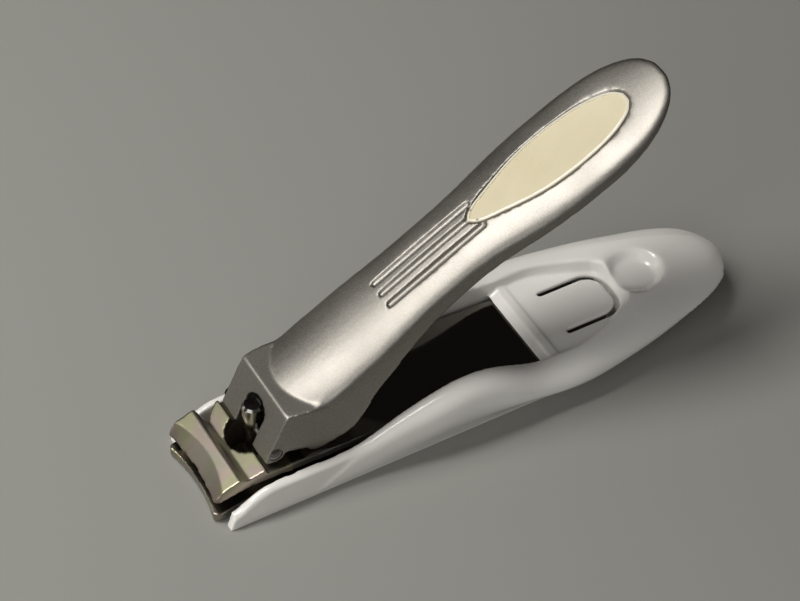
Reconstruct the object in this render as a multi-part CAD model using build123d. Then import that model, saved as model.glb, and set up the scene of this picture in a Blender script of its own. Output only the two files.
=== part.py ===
"""A catcher-type nail clipper: two stainless arms riveted at the back, a headed post and a
die-cast thumb lever, sitting in a white moulded case that catches the clippings.

Millimetres, +Z up, +X from the jaws to the tail, +Y to the left of someone who looks from the
tail to the jaws.  The origin is in the middle of the flat foot that the case stands on.
The lever stands raised, ready to be pressed, and the jaws are open.
"""
from build123d import *
from math import atan2, cos, degrees, hypot, radians, sin, sqrt, tan
import os

# ---- Arms -------------------------------------------------------------------------------
arm_half_width = 8.0        # both arms and both jaws
arm_thickness = 1.4         # the spring part of each arm
jaw_boss_height = 1.0       # how much thicker each arm is at its jaw
arm_open_angle = 2.1        # the upper arm stands open by this many degrees
arm_pivot_gap = 0.05        # between the arms behind the rivet, fully open
arm_tail_reach = 4.2        # from the rivet to the round back end of the arms
boss_length = 2.15          # the upper boss ends this far in front of the post
boss_clearance = 0.4        # lower boss to the post's head
shoulder_rise = 0.85        # the boss climbs this much from its valley to the step
valley_reach = 5.2          # valley behind the jaw, in front of the post
jaw_crest_reach = 6.3       # highest line of the upper jaw, in front of the post
jaw_crest_rise = 0.75       # crest above the spring part's top face
ridge_reach = 7.9           # front edge of the jaw's top face, at mid width
ridge_rise = 0.1            # ridge above the spring part's top face
jaw_edge_reach = 9.9       # cutting edge at mid width, in front of the post
jaw_curve_radius = 30.5     # the jaws are hollow in plan, for round nails
jaw_line_height = 1.85      # height at which the cutting edges meet
jaw_close_gap = 0.08        # left between the edges when fully pressed
jaw_corner_radius = 1.1     # round front corners of both jaws
crest_bend = 1.0            # radius over the crest of the upper jaw
valley_bend = 0.9           # and in the valley behind it
jaw_hollow_reach = 4.6      # where the jaws' inner faces start to slope
arm_hole_radius = 4.1       # hole of the upper arm round the post
arm_hole_offset = 0.5       # its centre stands in front of the post
relief_depth = 3.0          # side notch behind the upper jaw
relief_length = 3.8

# ---- Rear rivet -------------------------------------------------------------------------
rivet_x = 32.8
rivet_radius = 2.1
rivet_bore_radius = 1.3
rivet_rim_radius = 3.0
rivet_rim_thickness = 0.3
rivet_fit_gap = 0.12        # lets the upper arm rock on the rivet

# ---- Post and lever pin -----------------------------------------------------------------
post_x = -24.3
post_radius = 1.65
post_head_radius = 3.0
post_head_thickness = 0.9
post_stand = 4.3            # post above the pin's axis
post_fit_gap = 0.1
pin_radius = 0.75
pin_dome_radius = 1.15
pin_dome_height = 0.45
pin_fit_gap = 0.04

# ---- Lever, in its own axes: u along the lever from the pin, v square to it -------------
lever_angle = 25.2          # raised above the arms
lever_length = 80.0         # pin to tail
head_half_width = 7.3
face_foot = (-2.3, -0.5)    # lower edge of the sloping front face
face_top = (4.8, 5.3)       # upper edge of it
lobe_radius = 1.75          # round the pin, under the head
cam_center = (6.2, -3.5)    # round front of the heel that presses the arm
cam_radius = 2.1
cam_gap = 0.12              # heel to arm, lever released
heel_length = 4.0           # flat of the heel behind the cam
slot_half_width = 2.75      # fork round the post
slot_radius = 5.0
slot_round = 2.2
crown_front = 4.35          # top of the crown above the pin line, at the head
crown_rear = 7.35           # and at the label
crown_radius_front = 18.0
crown_radius_rear = 30.0
tail_bottom = 6.8           # underside at the tail, which turns up a little
groove_start = 26.4
groove_spacing = 2.4
groove_width = 1.2
groove_depth = 0.4
label_start = 43.0
label_end = 73.3
label_half_width = 4.95
label_recess_depth = 0.6
label_thickness = 0.4
label_fit_gap = 0.22
lever_edge_round = 0.3
end_fullness = 0.88         # 1 is an ellipse, less is blunter

# ---- Case -------------------------------------------------------------------------------
case_wall = 1.5
case_floor = 1.2
arm_side_gap = 0.9          # arms to the walls
arm_floor_gap = 0.15        # lower arm to the floor
wing_reach = 9.4            # front of the walls, in front of the post
wing_front_lean = 1.3       # the walls' front edge leans back this much
wing_nose_height = 3.7
wing_height = 5.6
crease_foot = 3.9           # foot of the crease between wing and hull, behind the post
rim_inset = 0.55            # from the inner wall to the middle of the rim
floor_reach = 0.9           # front of the floor, in front of the post
head_notch_gap = 1.0        # floor notch round the post's head
crest_height = 11.4
hip_half_width = 13.4
tail_x = 59.0
deck_x = 23.0               # front wall of the rear deck
deck_top = 5.75
deck_thickness = 0.75
deck_half_width = 8.7
deck_draft = 22.0           # the recess opens upwards by this many degrees
deck_length = 16.5
deck_rib_width = 1.3
deck_rib_height = 0.2
deck_lip_reach = 1.5       # the deck's front wall slopes forward to its foot
deck_lip_foot = 0.15       # thickness left at the foot
tunnel_gap = 1.3            # behind the arms' back end, under the deck
bowl_x = 43.3
bowl_half_width = 4.8
bowl_depth = 1.5
bowl_round = 0.9            # between its floor and wall
hull_top = 8.0              # top of the closed tail

# ---- Tongue of the deck -----------------------------------------------------------------
tongue_root_x = 28.1
tongue_end_x = 38.3
tongue_half_width = 4.05
tongue_corner = 2.9
tongue_slit = 0.9
tongue_root_gap = 0.06
tongue_bump_radius = 1.0
tongue_bump_gap = 0.08      # bump to the rivet's rim

# ---- Heights and places that follow -----------------------------------------------------
lower_arm_bottom = case_floor + arm_floor_gap
lower_arm_top = lower_arm_bottom + arm_thickness
tail_sweep = arm_tail_reach * tan(radians(arm_open_angle))
pivot_z = lower_arm_top + arm_pivot_gap + tail_sweep   # underside of the upper arm, closed
upper_arm_top = pivot_z + arm_thickness            # with the jaws closed
inner_half_width = arm_half_width + arm_side_gap
foot_half_width = inner_half_width + case_wall
deck_bottom = deck_top - deck_thickness
jaw_edge_x = post_x - jaw_edge_reach
tilt = radians(lever_angle)


def arm_top_at(x):
    """Height of the opened upper arm's spring part at x."""
    slope = radians(arm_open_angle)
    return pivot_z + arm_thickness / cos(slope) + (rivet_x - x) * tan(slope)


cam_x = post_x + cam_center[0] * cos(tilt) - cam_center[1] * sin(tilt)
cam_below_pin = cam_radius - cam_center[0] * sin(tilt) - cam_center[1] * cos(tilt)
pin_z = arm_top_at(cam_x) + cam_gap + cam_below_pin


# ---- Small helpers ----------------------------------------------------------------------
def side_plate(points, half_width):
    """A plate whose outline lies in the XZ plane, centred on Y = 0."""
    return side_slab(make_face(Polyline(*points, close=True)), half_width)


def side_slab(outline, half_width):
    """A face drawn in the XZ plane, made thick along Y and centred on Y = 0."""
    start = Plane(origin=(0, half_width, 0), x_dir=(1, 0, 0), z_dir=(0, -1, 0))
    return extrude(start * outline, amount=2 * half_width)


def slab(outline, z0, z1):
    """A face drawn in plan, made thick from z0 up to z1."""
    return Pos(0, 0, z0) * extrude(outline, amount=z1 - z0)


def block(x0, x1, y0, y1, z0, z1):
    """A box between two corners."""
    size = Box(x1 - x0, y1 - y0, z1 - z0)
    return Pos((x0 + x1) / 2, (y0 + y1) / 2, (z0 + z1) / 2) * size


def rod(x, y, z0, z1, radius):
    """An upright cylinder."""
    return Pos(x, y, (z0 + z1) / 2) * Cylinder(radius, z1 - z0)


def cross_rod(x, z, half_length, radius):
    """A cylinder along Y, centred on Y = 0."""
    return Pos(x, 0, z) * Rot(90, 0, 0) * Cylinder(radius, 2 * half_length)


def one_solid(shape):
    """The single solid of a finished piece."""
    return shape.solids()[0]


# ---- Arms -------------------------------------------------------------------------------
def jaw_face_tool(profile):
    """What lies in front of a jaw: the profile at mid width, turned about an upright axis
    ahead of it, so that the jaw is hollow in plan."""
    axis_x = jaw_edge_x - jaw_curve_radius
    outline = Plane.XZ * make_face(Polyline(*profile, close=True))
    ring = revolve(outline, Axis((axis_x, 0, 0), (0, 0, 1)), 360)
    return ring


def arm_blank(profile, jaw_tool, bends=()):
    """An arm from its side outline, with a round back end, round front corners and its
    hollow jaw.  Bends are corners of the outline and their radii."""
    outline = make_face(Polyline(*profile, close=True))
    for corner, radius in bends:
        outline = fillet(outline.vertices().sort_by_distance(corner)[0], radius)
    blank = side_slab(outline, arm_half_width)
    tail_end = rivet_x + arm_tail_reach
    w, r = arm_half_width, jaw_corner_radius
    front = jaw_edge_x - (jaw_curve_radius - sqrt(jaw_curve_radius ** 2 - (w - r / 2) ** 2))
    cut = r * (1 - sqrt(0.5))
    plan = make_face(
        Line((front + r, -w), (tail_end - w, -w))
        + ThreePointArc((tail_end - w, -w), (tail_end, 0), (tail_end - w, w))
        + Line((tail_end - w, w), (front + r, w))
        + ThreePointArc((front + r, w), (front + cut, w - cut), (front, w - r))
        + Line((front, w - r), (front, r - w))
        + ThreePointArc((front, r - w), (front + cut, cut - w), (front + r, -w)))
    return (blank & slab(plan, -5, 30)) - jaw_tool


def lower_arm():
    """The lower arm: flat spring part, thicker jaw boss below, vertical hollow front."""
    front = jaw_edge_x - 4
    boss_bottom = lower_arm_bottom - jaw_boss_height
    step = post_x - post_head_radius - boss_clearance
    profile = [(front, boss_bottom), (step - 0.6, boss_bottom), (step, lower_arm_bottom),
               (rivet_x + 20, lower_arm_bottom), (rivet_x + 20, lower_arm_top),
               (post_x - jaw_hollow_reach, lower_arm_top),
               (jaw_edge_x, jaw_line_height), (front, jaw_line_height)]
    reach = jaw_edge_x - jaw_curve_radius
    tool = jaw_face_tool([(reach + 5, -5), (jaw_edge_x, -5), (jaw_edge_x, 20), (reach + 5, 20)])
    arm = arm_blank(profile, tool)
    arm -= rod(post_x, 0, -1, 9, post_radius + post_fit_gap)
    arm -= rod(rivet_x, 0, -1, 9, rivet_radius)
    return one_solid(arm)


def upper_arm():
    """The upper arm, drawn closed and then opened about the rivet: jaw bent down, valley,
    climbing shoulder with its step, long spring part, big hole round the post."""
    front = jaw_edge_x - 4
    closed_edge = jaw_line_height + jaw_close_gap
    crest = upper_arm_top + jaw_crest_rise
    ridge = upper_arm_top + ridge_rise
    ridge_x = post_x - ridge_reach
    step = post_x - boss_length
    slope = (crest - ridge) / (ridge_reach - jaw_crest_reach)
    profile = [(front, ridge - slope * (ridge_x - front)),
               (post_x - jaw_crest_reach, crest), (post_x - valley_reach, upper_arm_top),
               (step, upper_arm_top + shoulder_rise), (step + 0.2, upper_arm_top),
               (rivet_x + 20, upper_arm_top), (rivet_x + 20, pivot_z),
               (post_x - jaw_hollow_reach, pivot_z),
               (jaw_edge_x + 0.3, closed_edge), (front, closed_edge)]
    reach = jaw_edge_x - jaw_curve_radius
    lean = (ridge_x - jaw_edge_x) / (ridge - closed_edge)
    tool = jaw_face_tool([(reach + 5, -5), (jaw_edge_x, -5), (jaw_edge_x, closed_edge),
                          (ridge_x, ridge), (ridge_x + 4 * lean, ridge + 4),
                          (reach + 5, ridge + 4)])
    bends = [(profile[1], crest_bend), (profile[2], valley_bend)]
    arm = arm_blank(profile, tool, bends)
    arm -= rod(post_x - arm_hole_offset, 0, -1, 15, arm_hole_radius)
    arm -= rod(rivet_x, 0, -1, 15, rivet_radius + rivet_fit_gap)
    arm -= relief_notch()
    pivot = Axis((rivet_x, 0, pivot_z), (0, 1, 0))
    return one_solid(arm.rotate(pivot, arm_open_angle))


def relief_notch():
    """The side notch between the upper jaw and its shoulder, on the left edge."""
    tip = (post_x - valley_reach, arm_half_width - relief_depth)
    front = (post_x - valley_reach - 1.2, arm_half_width + 0.6)
    back = (tip[0] + relief_length, arm_half_width + 0.6)
    outline = make_face(Line(tip, front) + Line(front, back)
                        + ThreePointArc(back, (tip[0] + 1.4, tip[1] + 1.9), tip))
    return slab(outline, -5, 20)


def rear_rivet():
    """Tubular rivet that holds the arms' back ends together."""
    top = upper_arm_top + rivet_fit_gap
    rim_bottom = lower_arm_bottom - arm_floor_gap / 2
    body = rod(rivet_x, 0, rim_bottom, top, rivet_radius)
    body += rod(rivet_x, 0, top, top + rivet_rim_thickness, rivet_rim_radius)
    body += rod(rivet_x, 0, rim_bottom, lower_arm_bottom, rivet_rim_radius)
    return one_solid(body - rod(rivet_x, 0, -1, 9, rivet_bore_radius))


# ---- Post and pin -----------------------------------------------------------------------
def post():
    """Turned post: flat head under the lower arm, cross bore for the lever's pin."""
    head_top = lower_arm_bottom - post_fit_gap
    head = rod(post_x, 0, head_top - post_head_thickness, head_top, post_head_radius)
    shank = rod(post_x, 0, head_top - post_head_thickness, pin_z + post_stand, post_radius)
    top_edge = shank.edges().filter_by(GeomType.CIRCLE).sort_by(Axis.Z)[-1]
    shank = chamfer(top_edge, 0.35)
    return one_solid(head + shank - cross_rod(post_x, pin_z, 5, pin_radius + pin_fit_gap))


def lever_pin():
    """Cross pin through the fork and the post, with a polished dome at each end."""
    shaft = cross_rod(post_x, pin_z, head_half_width, pin_radius)
    dome_radius = (pin_dome_radius ** 2 + pin_dome_height ** 2) / (2 * pin_dome_height)
    for side in (-1, 1):
        base = side * head_half_width
        sphere = Pos(post_x, base + side * (pin_dome_height - dome_radius), pin_z) \
            * Sphere(dome_radius)
        outer = base + side * 2 * pin_dome_height
        keep = block(post_x - 5, post_x + 5, min(base, outer), max(base, outer),
                     pin_z - 5, pin_z + 5)
        shaft += sphere & keep
    return one_solid(shaft)


# ---- Lever ------------------------------------------------------------------------------
def lever_place(shape):
    """From the lever's own axes to its raised place on the pin."""
    return Pos(post_x, 0, pin_z) * Rot(0, -lever_angle, 0) * shape


def along(share):
    """A place along the lever, as a share of its length from the pin."""
    return share * lever_length


def lever_profile():
    """Side outline: sloping face, round the pin, heel, underside, tail.  The top is left
    high, for the crown to cut."""
    low = cam_center[1] - cam_radius
    cam_front = (cam_center[0] - cam_radius, cam_center[1])
    cam_low = (cam_center[0], low)
    cam_mid = (cam_center[0] - cam_radius * sqrt(0.5), cam_center[1] - cam_radius * sqrt(0.5))
    lobe_end = (lobe_radius * cos(radians(-40)), lobe_radius * sin(radians(-40)))
    lobe_start = (-lobe_radius * cos(radians(54)), -lobe_radius * sin(radians(54)))
    lobe_low = (0.12 * lobe_radius, -0.993 * lobe_radius)
    heel_end = (cam_center[0] + heel_length, low)
    lean = (face_top[0] - face_foot[0]) / (face_top[1] - face_foot[1])
    high = 14.0
    under = Spline(heel_end, (along(0.17), low + 1.2), (along(0.22), -2.1),
                   (along(0.29), -0.2), (along(0.43), 1.95), (along(0.58), 2.95),
                   (along(0.755), 3.6), (along(0.88), 4.6), (along(0.955), 5.9),
                   (lever_length, tail_bottom), tangents=((1, 0.05), (1, 0.25)))
    edges = [
        Line(face_foot, lobe_start),
        ThreePointArc(lobe_start, lobe_low, lobe_end),
        Line(lobe_end, cam_front),
        ThreePointArc(cam_front, cam_mid, cam_low),
        Line(cam_low, heel_end),
        under,
        Line((lever_length, tail_bottom), (lever_length, high)),
        Line((lever_length, high), (face_foot[0] + lean * (high - face_foot[1]), high)),
        Line((face_foot[0] + lean * (high - face_foot[1]), high), face_foot),
    ]
    return side_slab(make_face(edges), 12)


def lever_head():
    """The head block between the front face and the flat ledge behind its edge."""
    fall = tan(tilt)
    ledge_back = (14.0, face_top[1] - (14.0 - face_top[0]) * fall)
    points = [face_foot, face_top, ledge_back, (14.0, -2.0), (2.4, -1.2)]
    return side_plate(points, 12)


def round_end(start, end, half_width):
    """Points of a full round end, from its widest place to its tip."""
    steps = [radians(a) for a in (0, 20, 38, 54, 67, 78, 90)]
    return [(start + (end - start) * sin(a) ** end_fullness,
             half_width * cos(a) ** end_fullness if a < radians(89) else 0) for a in steps]


def lever_plan():
    """Outline seen from above: square head, full shoulders, waist, wide tail."""
    w = head_half_width
    side = [(4.0, w), (along(0.126), w + 0.7), (along(0.2), w + 0.8), (along(0.28), w + 0.6),
            (along(0.35), w + 0.2), (along(0.43), w - 0.1), (along(0.49), w),
            (along(0.553), w + 0.35), (along(0.64), w + 1.45), (along(0.73), w + 2.0),
            *round_end(along(0.805), lever_length, w + 2.0)]
    left = Spline(*side, tangents=((1, 0), (0, -1)))
    right = Spline(*[(u, -y) for u, y in side], tangents=((1, 0), (0, 1)))
    edges = [left, right, Line((4.0, -w), (-4.0, -w)), Line((-4.0, -w), (-4.0, w)),
             Line((-4.0, w), (4.0, w))]
    return slab(make_face(edges), -20, 20)


def lever_crown():
    """The domed top, rounder at the front than at the label."""
    def section(u, top, radius):
        half = 11.0
        drop = radius - sqrt(radius ** 2 - half ** 2)
        plane = Plane(origin=(u, 0, 0), x_dir=(0, 1, 0), z_dir=(1, 0, 0))
        arc = ThreePointArc((half, top - drop), (0, top), (-half, top - drop))
        rest = Polyline((-half, top - drop), (-half, -20), (half, -20), (half, top - drop))
        return plane * make_face(arc + rest)
    front, rear = crown_radius_front, crown_radius_rear
    rise = crown_rear - crown_front
    return loft([section(-5.0, crown_front - 0.8, front),
                 section(along(0.1), crown_front + 0.1, front),
                 section(along(0.336), crown_front + 0.48 * rise, front + 4),
                 section(along(0.545), crown_rear - 0.25, front + 3),
                 section(along(0.73), crown_rear, rear),
                 section(along(0.88), crown_rear + 0.1, rear + 14),
                 section(along(1.02), crown_rear + 0.35, rear + 16)])


def label_outline(inset):
    """Leaf shape of the label, pointed at the front and round at the back."""
    y = label_half_width - inset
    start, end = label_start + 2 * inset, label_end - inset
    length = end - start
    half = [(start, 0), (start + 0.13 * length, 0.5 * y), (start + 0.4 * length, 0.93 * y),
            *round_end(start + 0.56 * length, end, y)]
    left = Spline(*half, tangents=((0.45, 1), (0, -1)))
    right = Spline(*[(u, -v) for u, v in half], tangents=((0.45, -1), (0, 1)))
    return make_face([left, right])


def label_place(shape):
    """Onto the floor of the label recess, which climbs a little to the tail."""
    floor_height = crown_rear - 0.25 - label_recess_depth
    return Pos(label_start, 0, floor_height) * Rot(0, -0.4, 0) * Pos(-label_start, 0, 0) * shape


def lever_slot():
    """The fork's slot round the post, with a round upper end."""
    drum = Rot(90, 0, 0) * Cylinder(slot_radius, 2 * slot_half_width)
    rims = drum.edges().filter_by(GeomType.CIRCLE)
    return fillet(rims, slot_round)


def lever():
    """Zinc die-cast thumb lever."""
    body = (lever_profile() & lever_crown()) + lever_head()
    body = soften_lever(body & lever_plan())
    body -= lever_slot()
    body -= Rot(90, 0, 0) * Cylinder(pin_radius + pin_fit_gap, 30)
    body -= grooves()
    body -= label_place(extrude(label_outline(0), amount=3))
    return one_solid(lever_place(body))


def soften_lever(body):
    """Cast roundings on the head: its front edge and the ledge behind it."""
    def spot(u, y, v):
        return body.edges().sort_by_distance((u, y, v))[0]
    ledge = (face_top[0] + 2.0, 0, crown_front + 0.05)
    return fillet([spot(face_top[0], 0, face_top[1]), spot(*ledge)], lever_edge_round)


def grooves():
    """Three parallel grooves from the shoulders up to the label."""
    length = label_start + 2.5 - groove_start
    climb = degrees(atan2(0.48 * (crown_rear - crown_front), along(0.24)))
    at_start = crown_front + 0.46 * (crown_rear - crown_front) - groove_depth
    cuts = []
    for row in (-1, 0, 1):
        groove = Pos(length / 2, row * groove_spacing, 0) * SlotOverall(length, groove_width)
        place = Pos(groove_start, 0, at_start - 0.12 * abs(row)) * Rot(0, -climb, 0)
        cuts.append(place * extrude(groove, amount=4))
    return cuts


def label_plate():
    """Thin plate glued in the recess of the lever."""
    plate = label_place(extrude(label_outline(label_fit_gap), amount=label_thickness))
    return one_solid(lever_place(plate))


# ---- Case -------------------------------------------------------------------------------
hip_x = post_x + 50.8        # widest place of the case


def hull_section(x, foot, foot_z, hip, hip_z, rim, rim_z, crown=0.05):
    """A cross-section of the case: flat foot, flared side that rolls over to the rim, and
    the top between the rims."""
    plane = Plane(origin=(x, 0, 0), x_dir=(0, 1, 0), z_dir=(1, 0, 0))
    lean = 4 * crown / rim
    left = Spline((foot, foot_z), (hip, hip_z), (rim, rim_z), tangents=((0.25, 1), (-1, lean)))
    right = Spline((-rim, rim_z), (-hip, hip_z), (-foot, foot_z),
                   tangents=((-1, -lean), (0.25, -1)))
    edges = [Line((-foot, foot_z), (foot, foot_z)), left,
             ThreePointArc((rim, rim_z), (0, rim_z + crown), (-rim, rim_z)), right]
    return plane * make_face(edges)


def hull():
    """The flared outside of the case, from the wings beside the jaws to the closed tail."""
    f, h, top = foot_half_width, hip_half_width, wing_height
    r = inner_half_width + rim_inset
    low = 0.3
    nose, back = post_x - wing_reach, tail_x - hip_x
    swell = crest_height - top
    front = [
        hull_section(nose - 0.5, f, low, f, 1.9, r, wing_nose_height),
        hull_section(nose + 3.2, f, low, f, 2.0, r, wing_nose_height + 0.15),
        hull_section(nose + 6.6, f, low, f + 0.02, 2.8, r, top - 0.15),
        hull_section(nose + 9.5, f, low, f + 0.2, 2.8, r, top),
        hull_section(post_x + 6.0, f, low, f + 0.3, 2.8, r, top),
        hull_section(post_x + 12.3, f, low, f + 0.5, 3.4, r, top + 0.06 * swell),
        hull_section(post_x + 18.5, f, low, f + 1.0, 4.2, r, top + 0.46 * swell),
        hull_section(post_x + 25.5, f, low, f + 1.6, 4.5, r, top + 0.86 * swell),
        hull_section(post_x + 31.8, f, low, h - 1.3, 4.5, r, crest_height),
        hull_section(post_x + 37.5, f, low, h - 0.8, 4.2, r + 0.05, top + 0.78 * swell),
        hull_section(post_x + 43.5, f, low, h - 0.25, 3.8, r + 0.25, top + 0.38 * swell),
    ]
    rear = [
        hull_section(hip_x, f - 0.1, low, h, 3.5, r + 0.7, hull_top - 0.5, 0.2),
        hull_section(hip_x + 0.22 * back, f - 0.9, low + 0.1, 0.948 * h, 3.9, r + 0.2,
                     hull_top - 0.4, 0.4),
        hull_section(hip_x + 0.43 * back, f - 2.3, 0.8, 0.866 * h, 4.4, r - 1.2,
                     hull_top - 0.3, 0.5),
        hull_section(hip_x + 0.62 * back, f - 3.9, 1.6, 0.761 * h, 4.9, r - 3.0,
                     hull_top - 0.4, 0.5),
        hull_section(hip_x + 0.8 * back, f - 5.7, 2.7, 0.627 * h, 5.2, r - 4.9,
                     hull_top - 0.7, 0.4),
        hull_section(hip_x + 0.92 * back, f - 7.2, 3.6, 0.455 * h, 5.2, r - 6.8,
                     hull_top - 1.2, 0.25),
        hull_section(hip_x + 0.98 * back, f - 8.7, 4.4, 0.269 * h, 5.1, r - 8.2,
                     hull_top - 1.9, 0.1),
        hull_section(tail_x, f - 10.1, 4.9, 0.037 * h, 5.0, r - 9.25, hull_top - 2.5, 0.02),
    ]
    return loft(front + rear)


def wing_front():
    """What lies in front of the wings' leaning front edges."""
    nose = post_x - wing_reach
    lean = wing_front_lean / wing_nose_height
    points = [(nose - 5, -1), (nose - lean, -1), (nose + 9 * lean, 9), (nose - 5, 9)]
    return side_plate(points, 20)


def wing_flat():
    """What stands proud of the wings' flat flanks in front of the leaning crease."""
    f = foot_half_width + 0.03
    line = [(post_x + crease_foot, -1), (post_x + crease_foot + 1.0, case_floor / 2),
            (post_x + crease_foot + 3.1, 1.85), (post_x + crease_foot + 7.6, 4.75),
            (post_x + crease_foot + 12.0, wing_height + 2)]
    front = post_x - wing_reach - 5
    plate = side_plate(line + [(front, wing_height + 2), (front, -1)], 20)
    return plate - block(front - 1, tail_x, -f, f, -2, 20)


def foot():
    """The flat plate that the case stands on."""
    front = post_x - wing_reach
    back = hip_x + 8.0
    f = foot_half_width
    plan = make_face(Polyline((back, f - 1.4), (hip_x, f), (front, f), (front, -f), (hip_x, -f),
                              (back, 1.4 - f))
                     + ThreePointArc((back, 1.4 - f), (back + 3, 0), (back, f - 1.4)))
    return extrude(plan, amount=case_floor)


def trough():
    """Space for the arms between the walls, and the tunnel for their back ends."""
    inner = inner_half_width
    room = block(post_x - 20, deck_x, -inner, inner, case_floor, 30)
    tunnel_end = rivet_x + arm_tail_reach + tunnel_gap
    room += block(deck_x - 1, tunnel_end, -inner, inner, case_floor, deck_bottom)
    return room


def floor_notch():
    """Open front of the floor, with a round bay for the post's head."""
    f = inner_half_width
    bay = post_head_radius + head_notch_gap
    cut = block(post_x - 20, post_x - floor_reach, -f, f, -1, case_floor + 1)
    cut += block(post_x - 20, post_x, -bay, bay, -1, case_floor + 1)
    return cut + rod(post_x, 0, -1, case_floor + 1, bay)


def deck_plan(height):
    """Outline of the sunk deck at a height above its floor; it opens upwards."""
    grow = height * tan(radians(deck_draft))
    start, end = deck_x - 0.5, deck_x + deck_length + grow
    w = deck_half_width + 0.4 * grow
    half = [(start, w), (deck_x + 5.0, w), (deck_x + 0.55 * deck_length, w - 1.3 + 0.3 * grow),
            (deck_x + 0.85 * deck_length, w - 3.6 + 0.6 * grow), (end, 0)]
    left = Spline(*half, tangents=((1, 0), (0, -1)))
    right = Spline(*[(x, -y) for x, y in half], tangents=((1, 0), (0, 1)))
    plan = make_face([left, right, Line((start, -w), (start, w))])
    return Pos(0, 0, deck_top + height) * plan


def deck_recess():
    """The sunk deck over the arms' back ends, narrowing to the finger bowl, less its rib."""
    recess = loft([deck_plan(0), deck_plan(hull_top - deck_top)], ruled=True)
    recess += slab(Pos(0, 0, -hull_top) * deck_plan(hull_top - deck_top), hull_top, 2 * hull_top)
    w = deck_half_width
    rib = block(deck_x - 1, deck_x + deck_rib_width, -w - 1, w + 1, deck_top,
                deck_top + deck_rib_height)
    return recess - rib


def deck_lip():
    """Sloping front wall of the deck, between the side walls."""
    foot_x = deck_x - deck_lip_reach
    outline = Polyline((deck_x + 0.5, deck_bottom), (deck_x + 0.5, deck_top), (deck_x, deck_top),
                       (foot_x, deck_bottom + deck_lip_foot), (foot_x, deck_bottom),
                       (deck_x + 0.5, deck_bottom))
    w = inner_half_width + 0.3
    return Pos(0, w, 0) * extrude(Plane.XZ * make_face(outline), amount=2 * w)


def tongue_plan(grow):
    """Outline of the tongue, a strip with a round free end, grown by a margin."""
    w = tongue_half_width + grow
    end = tongue_end_x + grow
    r = tongue_corner + grow
    return make_face(
        Polyline((end - r, w), (tongue_root_x, w), (tongue_root_x, -w), (end - r, -w))
        + ThreePointArc((end - r, -w), (end - r * (1 - sqrt(0.5)), -w + r * (1 - sqrt(0.5))),
                        (end, -w + r))
        + Line((end, -w + r), (end, w - r))
        + ThreePointArc((end, w - r), (end - r * (1 - sqrt(0.5)), w - r * (1 - sqrt(0.5))),
                        (end - r, w)))


def finger_bowl():
    """Round dip behind the deck, with a flat floor and a sloping wall."""
    floor_z = hull_top - bowl_depth
    floor_radius = bowl_half_width - bowl_depth
    dip = Cone(floor_radius, floor_radius + 4.0, 4.0)
    dip = fillet(dip.edges().filter_by(GeomType.CIRCLE).sort_by(Axis.Z)[0], bowl_round)
    return Pos(bowl_x, 0, floor_z + 2.0) * dip


def catcher_case():
    """Glossy white moulded case: wings beside the jaws, flared hull, deck, closed tail."""
    shell = hull() + foot()
    shell -= wing_front()
    shell -= wing_flat()
    shell -= trough()
    shell -= floor_notch()
    shell -= deck_recess()
    shell += deck_lip()
    shell -= Pos(0, 0, deck_bottom - 1) * extrude(tongue_plan(tongue_slit), amount=5)
    shell -= finger_bowl()
    return one_solid(shell)


def latch_tongue():
    """Springy tongue of the deck, with a bump over the rivet's bore."""
    plate = Pos(0, 0, deck_bottom) * extrude(tongue_plan(0), amount=deck_thickness)
    plate -= block(tongue_root_x - 1, tongue_root_x + tongue_root_gap, -20, 20, 0, 20)
    rim_top = upper_arm_top + rivet_fit_gap + rivet_rim_thickness
    bump_bottom = rim_top + tongue_bump_gap
    bump = rod(rivet_x, 0, bump_bottom, deck_top, tongue_bump_radius)
    return one_solid(plate + bump)


os.makedirs("parts", exist_ok=True)
PARTS = {
    "catcher_case": catcher_case,
    "latch_tongue": latch_tongue,
    "lower_arm": lower_arm,
    "upper_arm": upper_arm,
    "rear_rivet": rear_rivet,
    "post": post,
    "lever_pin": lever_pin,
    "lever": lever,
    "label_plate": label_plate,
}
for name, make in PARTS.items():
    export_step(make(), f"parts/{name}.step")
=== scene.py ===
"""Catcher nail clipper: sprung steel arms and a cast thumb lever in a moulded white case."""
from math import atan2, hypot, radians

import bmesh
import bpy
from mathutils import Matrix, Vector
from mathutils.bvhtree import BVHTree
from mathutils.kdtree import KDTree


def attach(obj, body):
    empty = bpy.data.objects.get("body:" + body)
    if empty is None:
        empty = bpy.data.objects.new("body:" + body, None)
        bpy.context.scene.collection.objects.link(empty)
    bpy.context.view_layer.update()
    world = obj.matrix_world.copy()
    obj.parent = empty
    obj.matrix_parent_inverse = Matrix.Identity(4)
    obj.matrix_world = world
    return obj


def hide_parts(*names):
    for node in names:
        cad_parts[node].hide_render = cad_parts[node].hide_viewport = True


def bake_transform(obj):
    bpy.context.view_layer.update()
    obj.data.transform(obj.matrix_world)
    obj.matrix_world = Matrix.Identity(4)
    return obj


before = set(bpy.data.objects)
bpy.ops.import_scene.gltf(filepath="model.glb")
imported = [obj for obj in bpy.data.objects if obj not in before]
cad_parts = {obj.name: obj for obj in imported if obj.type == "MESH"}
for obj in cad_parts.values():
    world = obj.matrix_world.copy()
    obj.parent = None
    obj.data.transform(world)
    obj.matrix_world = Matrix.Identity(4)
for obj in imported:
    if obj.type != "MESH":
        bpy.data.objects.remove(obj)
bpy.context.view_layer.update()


# ---- Moulded case and latch tongue ----
# The catcher case is one thin-walled injection moulding in glossy white ABS, with every
# edge rounded by the tool. The latch tongue is part of it, cut free in the rear deck by a
# slit on three sides so that it springs about its root; here it is split off as a still piece
# of its own.
MM = 0.001
CASE_VOXEL = 0.28 * MM
CASE_EDGE_ANGLE = radians(25)
CASE_RIM_REACH = 1.6 * MM
RIM_FOOT = 4.4 * MM
WALL_SIDE = 8.7 * MM
TAIL_START = 26 * MM
DECK_START = 22 * MM
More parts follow.
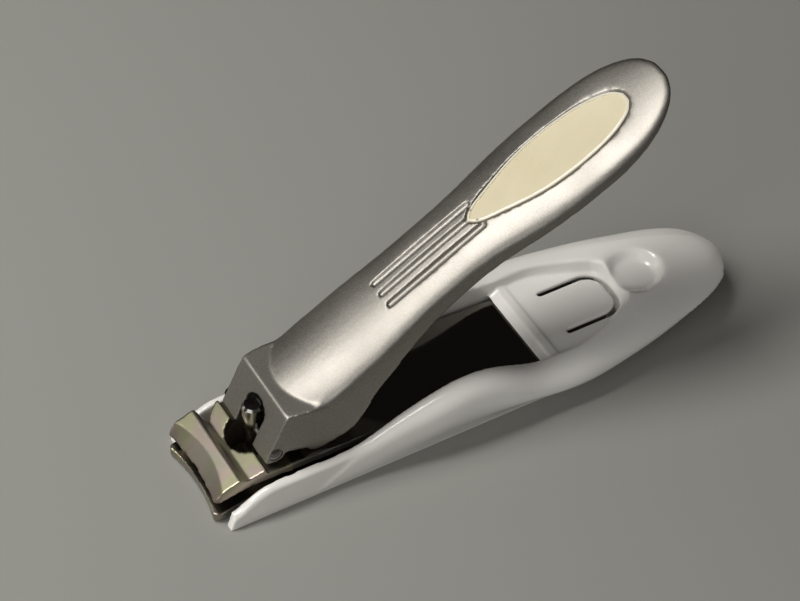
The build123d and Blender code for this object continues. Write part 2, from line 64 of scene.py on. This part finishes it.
DECK_LIMIT = 6.8 * MM
WHITE = (0.87, 0.85, 0.81), (0.89, 0.873, 0.838)
TONGUE_ROOT = 28.1 * MM
TONGUE_TIP = 38.3 * MM
TONGUE_HALF_WIDTH = 4.05 * MM
TONGUE_CORNER = 2.9 * MM
TONGUE_SLIT = 0.9 * MM
TONGUE_OVERLAP = 0.5 * MM
ROOT_MARGIN = 0.1 * MM
TONGUE_UNDERSIDE = 4 * MM
TONGUE_LIMIT = 5.95 * MM
MERGE_DISTANCE = 1e-8
SNAP_SHARE = 0.62
EDGE_WEIGHT = 1.6


def node(tree, kind, **inputs):
    """A shader or geometry node with its unlinked inputs set by name."""
    made = tree.nodes.new(kind)
    for name, value in inputs.items():
        made.inputs[name.replace("_", " ")].default_value = value
    return made


def link(tree, source, output, target, socket):
    """Joins two named or numbered sockets."""
    tree.links.new(source.outputs[output], target.inputs[socket])


def make_group(name, inputs, outputs):
    """An empty shader node group with its named sockets, and its in and out nodes."""
    tree = bpy.data.node_groups.new(name, "ShaderNodeTree")
    for label, default in inputs:
        socket = tree.interface.new_socket(label, in_out="INPUT", socket_type="NodeSocketFloat")
        socket.default_value = default
    for label in outputs:
        tree.interface.new_socket(label, in_out="OUTPUT", socket_type="NodeSocketFloat")
    return tree, tree.nodes.new("NodeGroupInput"), tree.nodes.new("NodeGroupOutput")


def grain_group():
    """Fine grain at one rate and soft patches at another, and both multiplied."""
    tree, entry, out = make_group(
        "fine grain", [("Grains per metre", 4000.0), ("Patches per metre", 120.0)],
        ["Height", "Mask", "Patch"])
    coord = node(tree, "ShaderNodeTexCoord")
    fine = node(tree, "ShaderNodeTexNoise", Detail=3.0, Roughness=0.65)
    patch = node(tree, "ShaderNodeTexNoise", Detail=4.0, Roughness=0.55)
    for texture, rate in ((fine, "Grains per metre"), (patch, "Patches per metre")):
        link(tree, coord, "Object", texture, "Vector")
        link(tree, entry, rate, texture, "Scale")
    mixed = node(tree, "ShaderNodeMath")
    mixed.operation = "MULTIPLY"
    link(tree, fine, "Fac", mixed, 0)
    link(tree, patch, "Fac", mixed, 1)
    link(tree, fine, "Fac", out, "Height")
    link(tree, mixed, "Value", out, "Mask")
    link(tree, patch, "Fac", out, "Patch")
    return tree


grain = grain_group()


def new_material(name, **inputs):
    """A node material with its Principled shader's plain values set by name."""
    material = bpy.data.materials.new(name)
    material.use_nodes = True
    shader = material.node_tree.nodes["Principled BSDF"]
    for label, value in inputs.items():
        shader.inputs[label.replace("_", " ")].default_value = value
    return material, material.node_tree, shader


def add_group(tree, group, **inputs):
    """A group node with its unlinked inputs set by name."""
    made = tree.nodes.new("ShaderNodeGroup")
    made.node_tree = group
    for name, value in inputs.items():
        made.inputs[name.replace("_", " ")].default_value = value
    return made


def vary(tree, source, output, low, high, target, socket, start=0.3, end=0.7):
    """Maps a mask from start to end onto a value or colour range."""
    if isinstance(low, tuple):
        ramp = node(tree, "ShaderNodeValToRGB")
        ramp.color_ramp.elements[0].position = start
        ramp.color_ramp.elements[0].color = (*low, 1)
        ramp.color_ramp.elements[1].position = end
        ramp.color_ramp.elements[1].color = (*high, 1)
        link(tree, source, output, ramp, "Fac")
        link(tree, ramp, "Color", target, socket)
    else:
        ramp = node(tree, "ShaderNodeMapRange",
                    From_Min=start, From_Max=end, To_Min=low, To_Max=high)
        link(tree, source, output, ramp, "Value")
        link(tree, ramp, "Result", target, socket)


def roughen(tree, source, output, shader, distance, strength=1.0):
    """A Bump node from a height onto the shader's Normal."""
    bump = node(tree, "ShaderNodeBump", Strength=strength, Distance=distance)
    link(tree, source, output, bump, "Height")
    link(tree, bump, "Normal", shader, "Normal")


def dress(obj, material):
    """Puts one material on a piece."""
    obj.data.materials.clear()
    obj.data.materials.append(material)


def new_piece(name, mesh):
    """An object at the origin that shows the mesh."""
    piece = bpy.data.objects.new(name, mesh)
    bpy.context.collection.objects.link(piece)
    return piece


def copied(source, name):
    """A merged copy of a solid's mesh, as a new piece."""
    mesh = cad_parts[source].data.copy()
    mesh.name = name
    work = bmesh.new()
    work.from_mesh(mesh)
    bmesh.ops.remove_doubles(work, verts=work.verts, dist=MERGE_DISTANCE)
    work.to_mesh(mesh)
    work.free()
    return new_piece(name, mesh)


def settle(piece):
    """Turns a piece's modifiers into its plain mesh, smoothly shaded."""
    depsgraph = bpy.context.evaluated_depsgraph_get()
    shaped = bpy.data.meshes.new_from_object(piece.evaluated_get(depsgraph))
    piece.modifiers.clear()
    piece.data = shaped
    shaped.name = piece.name
    shaped.polygons.foreach_set("use_smooth", [True] * len(shaped.polygons))


def crisp_places(piece, least, step, chosen=None):
    """A tree of points along the piece's edges that turn by more than least."""
    work = bmesh.new()
    work.from_mesh(piece.data)
    places = []
    for edge in work.edges:
        if len(edge.link_faces) != 2 or edge.calc_face_angle(0) < least:
            continue
        start, end = edge.verts[0].co, edge.verts[1].co
        steps = max(1, int((end - start).length / step))
        places += [start.lerp(end, i / steps) for i in range(steps + 1)]
    work.free()
    if chosen:
        places = [p for p in places if chosen(p)]
    tree = KDTree(len(places))
    for index, place in enumerate(places):
        tree.insert(place, index)
    tree.balance()
    return tree


def smoothed(piece, passes, weights=None):
    """Smooths a piece, or only as far as a vertex group says."""
    smooth = piece.modifiers.new("smooth", "SMOOTH")
    smooth.factor = 0.5
    smooth.iterations = passes
    if weights:
        smooth.vertex_group = weights
    settle(piece)


def soften(piece, voxel, least, passes, rounder_edges=(), lay=False, kept=None):
    """Rounds every edge of a merged solid slightly, as moulding or casting leaves it: an
    even mesh is laid over it, its points by an edge are put onto that edge, and the whole
    is smoothed. Each of rounder_edges, a test of place, a least angle, a reach and a
    number of passes, rounds some edges more. Kept, a test of place and a reach, holds that
    back by other edges. With lay, every point is put onto the solid's faces first, which
    keeps flats mirror flat."""
    edges = crisp_places(piece, least, voxel / 3)
    rounder = [(crisp_places(piece, angle, voxel / 2, chosen), reach, extra)
               for chosen, angle, reach, extra in rounder_edges]
    sharp = crisp_places(piece, least, voxel / 2, kept[0]) if kept else None
    surface = BVHTree.FromPolygons([v.co for v in piece.data.vertices],
                                   [p.vertices[:] for p in piece.data.polygons])
    remesh = piece.modifiers.new("remesh", "REMESH")
    remesh.mode = "VOXEL"
    remesh.voxel_size = voxel
    settle(piece)
    for vertex in piece.data.vertices:
        place, _, away = edges.find(vertex.co)
        if away < SNAP_SHARE * voxel:
            vertex.co = place
        elif lay:
            vertex.co = surface.find_nearest(vertex.co)[0]
    smoothed(piece, passes)
    for places, reach, extra in rounder:
        near = piece.vertex_groups.new(name="near edge")
        for vertex in piece.data.vertices:
            share = 1 - places.find(vertex.co)[2] / reach
            if share > 0 and kept:
                share *= min(1, sharp.find(vertex.co)[2] / kept[1])
            if share > 0:
                near.add([vertex.index], min(1, EDGE_WEIGHT * share), "REPLACE")
        smoothed(piece, extra, "near edge")
        piece.vertex_groups.clear()


def moulded_white():
    """Glossy ABS that lets a little light in."""
    material, tree, shader = new_material(
        "moulded_white", Coat_Weight=0.6, Coat_Roughness=0.06, Subsurface_Weight=0.06,
        Subsurface_Radius=(1.0, 0.9, 0.85), Subsurface_Scale=0.8 * MM)
    fine = add_group(tree, grain, Grains_per_metre=900.0, Patches_per_metre=40.0)
    vary(tree, fine, "Patch", *WHITE, shader, "Base Color")
    vary(tree, fine, "Mask", 0.22, 0.28, shader, "Roughness", 0.1, 0.5)
    roughen(tree, fine, "Height", shader, 0.01 * MM, 0.1)
    return material


def on_case_rim(p):
    """The rims of the walls and the outline of the tail's top."""
    by_deck = p.x > DECK_START and p.z < DECK_LIMIT
    return p.z > RIM_FOOT and (abs(p.y) > WALL_SIDE or p.x > TAIL_START) and not by_deck


def on_tongue(p):
    """Inside the middle line of the slit."""
    grow = TONGUE_SLIT / 2
    past = p.x - (TONGUE_TIP - TONGUE_CORNER)
    beside = abs(p.y) - (TONGUE_HALF_WIDTH - TONGUE_CORNER)
    if not TONGUE_UNDERSIDE < p.z < TONGUE_LIMIT or p.x < TONGUE_ROOT:
        return False
    if past > 0 and beside > 0:
        return hypot(past, beside) < TONGUE_CORNER + grow
    return past < TONGUE_CORNER + grow and beside < TONGUE_CORNER + grow


case = copied("catcher_case", "case_moulding")
tongue = copied("latch_tongue", "tongue_blank")
for vertex in tongue.data.vertices:
    if vertex.co.x < TONGUE_ROOT + ROOT_MARGIN:
        vertex.co.x -= TONGUE_OVERLAP
joined = bmesh.new()
joined.from_mesh(case.data)
joined.from_mesh(tongue.data)
joined.to_mesh(case.data)
joined.free()
bpy.data.objects.remove(tongue)
soften(case, CASE_VOXEL, CASE_EDGE_ANGLE, 6,
       [(on_case_rim, CASE_EDGE_ANGLE, CASE_RIM_REACH, 14)])
dress(case, moulded_white())
tongue = new_piece("tongue_strip", case.data.copy())
for piece, wanted in ((case, False), (tongue, True)):
    work = bmesh.new()
    work.from_mesh(piece.data)
    spare = [f for f in work.faces if on_tongue(f.calc_center_median()) != wanted]
    bmesh.ops.delete(work, geom=spare, context="FACES")
    work.to_mesh(piece.data)
    work.free()
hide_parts("catcher_case")
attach(case, "case")
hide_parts("latch_tongue")
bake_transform(tongue)


# ---- Sprung arms ----
# Both arms are blanked from stainless strip and bent, with the cut edges tumbled round.
# The strip is mirror polished, and the jaws are ground satin after bending.
ARM_VOXEL = 0.2 * MM
ARM_EDGE_ANGLE = radians(18)
UPPER_JAW_END = -22.2 * MM
LOWER_JAW_END = -34.6 * MM
JAW_FADE = 0.7 * MM
STRIP_GREY = (0.30, 0.285, 0.26, 1)
# Satin jaw colours, with green and pink patches that are painted reflections, spread by noise.
JAW_SATIN_AND_PAINTED_REFLECTIONS = [(0.30, (0.36, 0.32, 0.25)), (0.42, (0.37, 0.37, 0.24)),
             (0.50, (0.40, 0.33, 0.28)), (0.58, (0.36, 0.33, 0.28)),
             (0.70, (0.34, 0.34, 0.24))]
JAW_ROUGHNESS = 0.34
STRIP_ROUGHNESS = 0.07
SCRATCH_ROUGHNESS = 0.08


def scratch_group():
    """Rubbed lines along X: noise drawn out along the part, as a mask."""
    tree, entry, out = make_group(
        "rubbed lines", [("Lines per metre", 9000.0), ("Stretch", 0.02)], ["Mask"])
    coord = node(tree, "ShaderNodeTexCoord")
    scale = node(tree, "ShaderNodeCombineXYZ", Y=1.0, Z=1.0)
    link(tree, entry, "Stretch", scale, "X")
    drawn = node(tree, "ShaderNodeVectorMath")
    drawn.operation = "MULTIPLY"
    link(tree, coord, "Object", drawn, 0)
    link(tree, scale, "Vector", drawn, 1)
    lines = node(tree, "ShaderNodeTexNoise", Detail=3.0, Roughness=0.6)
    link(tree, drawn, "Vector", lines, "Vector")
    link(tree, entry, "Lines per metre", lines, "Scale")
    rubbed = node(tree, "ShaderNodeMapRange", From_Min=0.52, From_Max=0.72)
    link(tree, lines, "Fac", rubbed, "Value")
    link(tree, rubbed, "Result", out, "Mask")
    return tree


scratches = scratch_group()


def arm_steel(name, jaw_end):
    """Mirror strip behind jaw_end, and satin jaws before it, whose green and pink patches are
    painted reflections.
    """
    material, tree, shader = new_material(name, Metallic=1.0)
    coord = node(tree, "ShaderNodeTexCoord")
    split = node(tree, "ShaderNodeSeparateXYZ")
    link(tree, coord, "Object", split, "Vector")
    lines = add_group(tree, scratches, Lines_per_metre=7000.0, Stretch=0.03)
    fine = add_group(tree, grain, Grains_per_metre=5000.0, Patches_per_metre=160.0)
    zone = node(tree, "ShaderNodeMapRange", From_Min=jaw_end, From_Max=jaw_end + JAW_FADE)
    link(tree, split, "X", zone, "Value")
    # Satin jaw colour with painted reflections in green and pink patches.
    satin_and_painted_reflection_ramp = node(tree, "ShaderNodeValToRGB")
    ramp = satin_and_painted_reflection_ramp.color_ramp
    while len(ramp.elements) < len(JAW_SATIN_AND_PAINTED_REFLECTIONS):
        ramp.elements.new(0.5)
    for element, (place, colour) in zip(ramp.elements, JAW_SATIN_AND_PAINTED_REFLECTIONS):
        element.position = place
        element.color = (*colour, 1)
    link(tree, fine, "Patch", satin_and_painted_reflection_ramp, "Fac")
    mixed = node(tree, "ShaderNodeMix")
    mixed.data_type = "RGBA"
    jaw_side, strip_side, mixed_colour = 6, 7, 2
    mixed.inputs[strip_side].default_value = STRIP_GREY
    link(tree, zone, "Result", mixed, "Factor")
    link(tree, satin_and_painted_reflection_ramp, "Color", mixed, jaw_side)
    link(tree, mixed, mixed_colour, shader, "Base Color")
    rough = node(tree, "ShaderNodeMapRange", To_Min=JAW_ROUGHNESS, To_Max=STRIP_ROUGHNESS)
    link(tree, zone, "Result", rough, "Value")
    wear = node(tree, "ShaderNodeMath")
    wear.operation = "MULTIPLY_ADD"
    wear.inputs[1].default_value = SCRATCH_ROUGHNESS
    link(tree, lines, "Mask", wear, 0)
    link(tree, rough, "Result", wear, 2)
    link(tree, wear, "Value", shader, "Roughness")
    roughen(tree, fine, "Height", shader, 0.002 * MM, 0.4)
    return material


for arm, body, jaw_end in (("lower_arm", "lower", LOWER_JAW_END),
                           ("upper_arm", "upper", UPPER_JAW_END)):
    piece = copied(arm, arm + "_strip")
    soften(piece, ARM_VOXEL, ARM_EDGE_ANGLE, 3, lay=True)
    dress(piece, arm_steel(arm + "_steel", jaw_end))
    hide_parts(arm)
    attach(piece, body)


# ---- Post, cross pin and rear rivet ----
# The headed post, the cross pin with its domed ends and the rear rivet are turned from
# steel bar and barrel polished.
DARK_STEEL = (0.17, 0.165, 0.155), (0.26, 0.25, 0.235)


def turned_steel():
    """Polished steel with a faint cloudiness."""
    material, tree, shader = new_material("turned_steel", Metallic=1.0)
    fine = add_group(tree, grain, Grains_per_metre=2500.0, Patches_per_metre=300.0)
    vary(tree, fine, "Patch", *DARK_STEEL, shader, "Base Color")
    vary(tree, fine, "Mask", 0.12, 0.24, shader, "Roughness", 0.1, 0.5)
    roughen(tree, fine, "Height", shader, 0.004 * MM, 0.5)
    return material


bar = turned_steel()
for name in ("post", "lever_pin", "rear_rivet"):
    dress(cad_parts[name], bar)


# ---- Thumb lever ----
# Zinc die casting, tumbled and satin nickel plated, which leaves a fine sparkling grain.
# It turns on the cross pin, and its heel presses the upper arm down.
LEVER_VOXEL = 0.225 * MM
LEVER_EDGE_ANGLE = radians(28)
LEVER_TILT = radians(25.2)
PIN = Vector((-24.3, 0, 8.9354)) * MM
FACE_EDGE_ANGLE = radians(12)
FACE_EDGE = 4.8 * MM
FACE_EDGE_REACH = 0.6 * MM
LEDGE_LEVEL = 4.8 * MM
HEAD_LENGTH = 13 * MM
HEAD_SIDE = 6.0 * MM
CROWN_FRONT = 12 * MM
CREASE_GAP = 0.8 * MM
CREASE_LEVEL = 4.0 * MM
CROWN_SIDE = 6.4 * MM
TAIL_ROUND = 70 * MM
EDGE_LEVEL = 1.5 * MM
EDGE_LEVEL_START = 8.5 * MM
EDGE_CLIMB = 0.05
LONG_EDGE_REACH = 4.4 * MM
HEAD_EDGE_REACH = 1.2 * MM
LABEL_MARGIN = 0.7 * MM
KEPT_REACH = 1.3 * MM
NICKEL = (0.27, 0.256, 0.230), (0.37, 0.352, 0.323)
to_lever = Matrix.Rotation(LEVER_TILT, 4, "Y") @ Matrix.Translation(-PIN)


def satin_nickel():
    """Satin plating with a bright sparkle in its grain."""
    material, tree, shader = new_material("satin_nickel", Metallic=1.0)
    fine = add_group(tree, grain, Grains_per_metre=3800.0, Patches_per_metre=90.0)
    vary(tree, fine, "Height", *NICKEL, shader, "Base Color", 0.34, 0.66)
    vary(tree, fine, "Mask", 0.40, 0.52, shader, "Roughness", 0.1, 0.45)
    roughen(tree, fine, "Height", shader, 0.03 * MM, 0.4)
    return material


def on_long_edge(p):
    """The two upper edges that run from the head's shoulders round the tail."""
    u, y, v = to_lever @ p
    outside = abs(y) > (CROWN_SIDE if u < TAIL_ROUND else 0)
    return u > HEAD_LENGTH and outside and v > EDGE_LEVEL + EDGE_CLIMB * (u - EDGE_LEVEL_START)


def on_head_edge(p):
    """The edges along the head's two sides."""
    u, y, _ = to_lever @ p
    return u < HEAD_LENGTH and abs(y) > HEAD_SIDE


def on_face_edge(p):
    """The edge between the head's front face and the ledge."""
    u, _, v = to_lever @ p
    return abs(u - FACE_EDGE) < FACE_EDGE_REACH and v > LEDGE_LEVEL


def stays_crisp(p):
    """The edges of the label's recess and the crease between the ledge and the crown."""
    u, _, v = to_lever @ p
    by_crease = FACE_EDGE + CREASE_GAP < u < CROWN_FRONT and v > CREASE_LEVEL
    return label_points.find(p)[2] < LABEL_MARGIN or by_crease


plate_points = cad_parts["label_plate"].data.vertices
label_points = KDTree(len(plate_points))
for vertex in plate_points:
    label_points.insert(vertex.co, vertex.index)
label_points.balance()
lever = copied("lever", "lever_casting")
soften(lever, LEVER_VOXEL, LEVER_EDGE_ANGLE, 4,
       [(on_long_edge, LEVER_EDGE_ANGLE, LONG_EDGE_REACH, 180),
        (on_head_edge, LEVER_EDGE_ANGLE, HEAD_EDGE_REACH, 10),
        (on_face_edge, FACE_EDGE_ANGLE, HEAD_EDGE_REACH, 12)],
       kept=(stays_crisp, KEPT_REACH))
dress(lever, satin_nickel())
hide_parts("lever")
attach(lever, "lever")


# ---- Label plate ----
# A thin cream enamelled plate glued into the recess in the lever, with a raised rim that
# slopes down to its outside all round.
LABEL_CLIMB = radians(0.4)
LABEL_START = 43.0 * MM
RIM_WIDTH = 0.46 * MM
RIM_HEIGHT = 0.15 * MM
RIM_CORNER = 0.03 * MM
RIM_WEDGE = (0.0, -0.3), (0.0, 0.15), (0.85, 1.0), (1.0, -0.3)
TOP_TOLERANCE = 0.05 * MM
TWIN_DIGITS = 7
CREAM = (0.70, 0.625, 0.43), (0.76, 0.685, 0.485)
RIM_CREAM = (0.78, 0.74, 0.60), (0.83, 0.79, 0.66)


def cream_enamel(name, low, high):
    """Smooth glossy enamel between two close shades."""
    material, tree, shader = new_material(name, Coat_Weight=0.4, Coat_Roughness=0.1)
    fine = add_group(tree, grain, Grains_per_metre=3500.0, Patches_per_metre=120.0)
    vary(tree, fine, "Patch", low, high, shader, "Base Color")
    vary(tree, fine, "Mask", 0.26, 0.36, shader, "Roughness", 0.1, 0.5)
    roughen(tree, fine, "Height", shader, 0.004 * MM, 0.4)
    return material


def rim_tree():
    """Sweeps a low wedge, high on its inside, round a closed outline. RIM_WEDGE holds its
    corners as shares of the rim's width and height."""
    tree = bpy.data.node_groups.new("raised rim", "GeometryNodeTree")
    side = tree.interface.new_socket
    side("Geometry", in_out="INPUT", socket_type="NodeSocketGeometry")
    for label, value in (("Rim width", RIM_WIDTH), ("Rim height", RIM_HEIGHT),
                         ("Corner radius", RIM_CORNER)):
        side(label, in_out="INPUT", socket_type="NodeSocketFloat").default_value = value
    side("Finish", in_out="INPUT", socket_type="NodeSocketMaterial")
    side("Geometry", in_out="OUTPUT", socket_type="NodeSocketGeometry")
    entry, out = tree.nodes.new("NodeGroupInput"), tree.nodes.new("NodeGroupOutput")
    path = node(tree, "GeometryNodeMeshToCurve")
    link(tree, entry, "Geometry", path, "Mesh")
    wedge = tree.nodes.new("GeometryNodeCurvePrimitiveQuadrilateral")
    wedge.mode = "POINTS"
    for number, (across, up) in enumerate(RIM_WEDGE, start=1):
        place = tree.nodes.new("ShaderNodeCombineXYZ")
        for axis, label, share in (("X", "Rim width", -across), ("Y", "Rim height", -up)):
            scaled = tree.nodes.new("ShaderNodeMath")
            scaled.operation = "MULTIPLY"
            scaled.inputs[1].default_value = share
            link(tree, entry, label, scaled, 0)
            link(tree, scaled, "Value", place, axis)
        link(tree, place, "Vector", wedge, f"Point {number}")
    eased = tree.nodes.new("GeometryNodeFilletCurve")
    eased.inputs["Limit Radius"].default_value = True
    eased.mode = "POLY"
    eased.inputs["Count"].default_value = 2
    link(tree, wedge, "Curve", eased, "Curve")
    link(tree, entry, "Corner radius", eased, "Radius")
    swept = tree.nodes.new("GeometryNodeCurveToMesh")
    link(tree, path, "Curve", swept, "Curve")
    link(tree, eased, "Curve", swept, "Profile Curve")
    real = tree.nodes.new("GeometryNodeRealizeInstances")
    link(tree, swept, "Mesh", real, "Geometry")
    painted = tree.nodes.new("GeometryNodeSetMaterial")
    link(tree, real, "Geometry", painted, "Geometry")
    link(tree, entry, "Finish", painted, "Material")
    link(tree, painted, "Geometry", out, "Geometry")
    return tree


to_label = Matrix.Rotation(LABEL_CLIMB, 4, "Y") @ Matrix.Translation(
    (-LABEL_START, 0, 0)) @ to_lever
plate = [to_label @ v.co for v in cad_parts["label_plate"].data.vertices]
plate_top = max(p.z for p in plate)
outline = {(round(p.x, TWIN_DIGITS), round(p.y, TWIN_DIGITS))
           for p in plate if p.z > plate_top - TOP_TOLERANCE}
middle = sum(x for x, _ in outline) / len(outline)
outline = sorted(outline, key=lambda p: atan2(p[1], p[0] - middle))
ring = bpy.data.meshes.new("label_rim")
ring.from_pydata([(x, y, plate_top) for x, y in outline],
                 [(i, (i + 1) % len(outline)) for i in range(len(outline))], [])
rim = new_piece("label_rim", ring)
rim_paint = cream_enamel("rim_enamel", *RIM_CREAM)
sweep = rim.modifiers.new("sweep", "NODES")
sweep.node_group = rim_tree()
for socket in sweep.node_group.interface.items_tree:
    if socket.in_out == "INPUT" and socket.name == "Finish":
        sweep[socket.identifier] = rim_paint
settle(rim)
rim.data.transform(to_label.inverted())
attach(rim, "lever")

dress(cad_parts["label_plate"], cream_enamel("cream_enamel", *CREAM))


# ---- Floor, light and camera ----
# A plain pale studio floor, one large overhead softbox, a weak fill from the near left,
# a dim card far left, a dim room that is darker on the far side, and a camera above the
# near left corner.
FLOOR_HALF = 3.0
NEAR_ROOM, FAR_ROOM = (0.125, 0.123, 0.118), (0.012, 0.011, 0.010)
LENS = 117.033
SENSOR_WIDTH = 36.0
EYE = Vector((-130.386, -233.177, 301.568)) * MM
EYE_TURN = radians(43.78864), radians(-0.062247), radians(-29.285619)

ground = bpy.data.meshes.new("floor")
ground.from_pydata([(x * FLOOR_HALF, y * FLOOR_HALF, 0)
                    for x, y in ((-1, -1), (1, -1), (1, 1), (-1, 1))], [], [(0, 1, 2, 3)])
floor = new_piece("floor", ground)
dress(floor, new_material("floor_paint", Roughness=0.7, Specular_IOR_Level=0.2,
                          Base_Color=(0.30, 0.30, 0.28, 1))[0])


def softbox(name, place, aim, size, power, colour):
    """A rectangular lamp at place, facing aim, in metres and watts."""
    lamp = bpy.data.lights.new(name, "AREA")
    lamp.shape = "RECTANGLE"
    lamp.size, lamp.size_y = size
    lamp.energy = power
    lamp.color = colour
    holder = bpy.data.objects.new(name, lamp)
    holder.location = place
    holder.rotation_euler = (Vector(aim) - Vector(place)).to_track_quat("-Z", "Y").to_euler()
    bpy.context.collection.objects.link(holder)


softbox("overhead", (-0.25, 0.13, 0.5), (-0.25, 0.13, 0.0), (0.40, 0.17), 2.6, (1, 0.98, 0.95))
softbox("left_fill", (-0.65, -0.38, 0.40), (0.0, 0.0, 0.0), (0.7, 0.5), 2.7, (1, 0.99, 0.97))
softbox("far_card", (-0.55, 0.48, 0.26), (0.0, 0.0, 0.0), (0.4, 0.3), 0.45, (1, 0.97, 0.92))

world = bpy.data.worlds.new("studio")
world.use_nodes = True
room = world.node_tree
backdrop = room.nodes["Background"]
facing = node(room, "ShaderNodeTexCoord")
axes = node(room, "ShaderNodeSeparateXYZ")
link(room, facing, "Generated", axes, "Vector")
across = node(room, "ShaderNodeMapRange", From_Min=-0.9, From_Max=0.5)
link(room, axes, "Y", across, "Value")
vary(room, across, "Result", NEAR_ROOM, FAR_ROOM, backdrop, "Color", 0.0, 1.0)
bpy.context.scene.world = world

eye = bpy.data.cameras.new("camera")
eye.sensor_width = SENSOR_WIDTH
eye.lens = LENS
eye.clip_start = 0.01
camera = bpy.data.objects.new("camera", eye)
camera.location = EYE
camera.rotation_euler = EYE_TURN
bpy.context.collection.objects.link(camera)
bpy.context.scene.camera = camera
bpy.context.scene.view_settings.view_transform = "Standard"
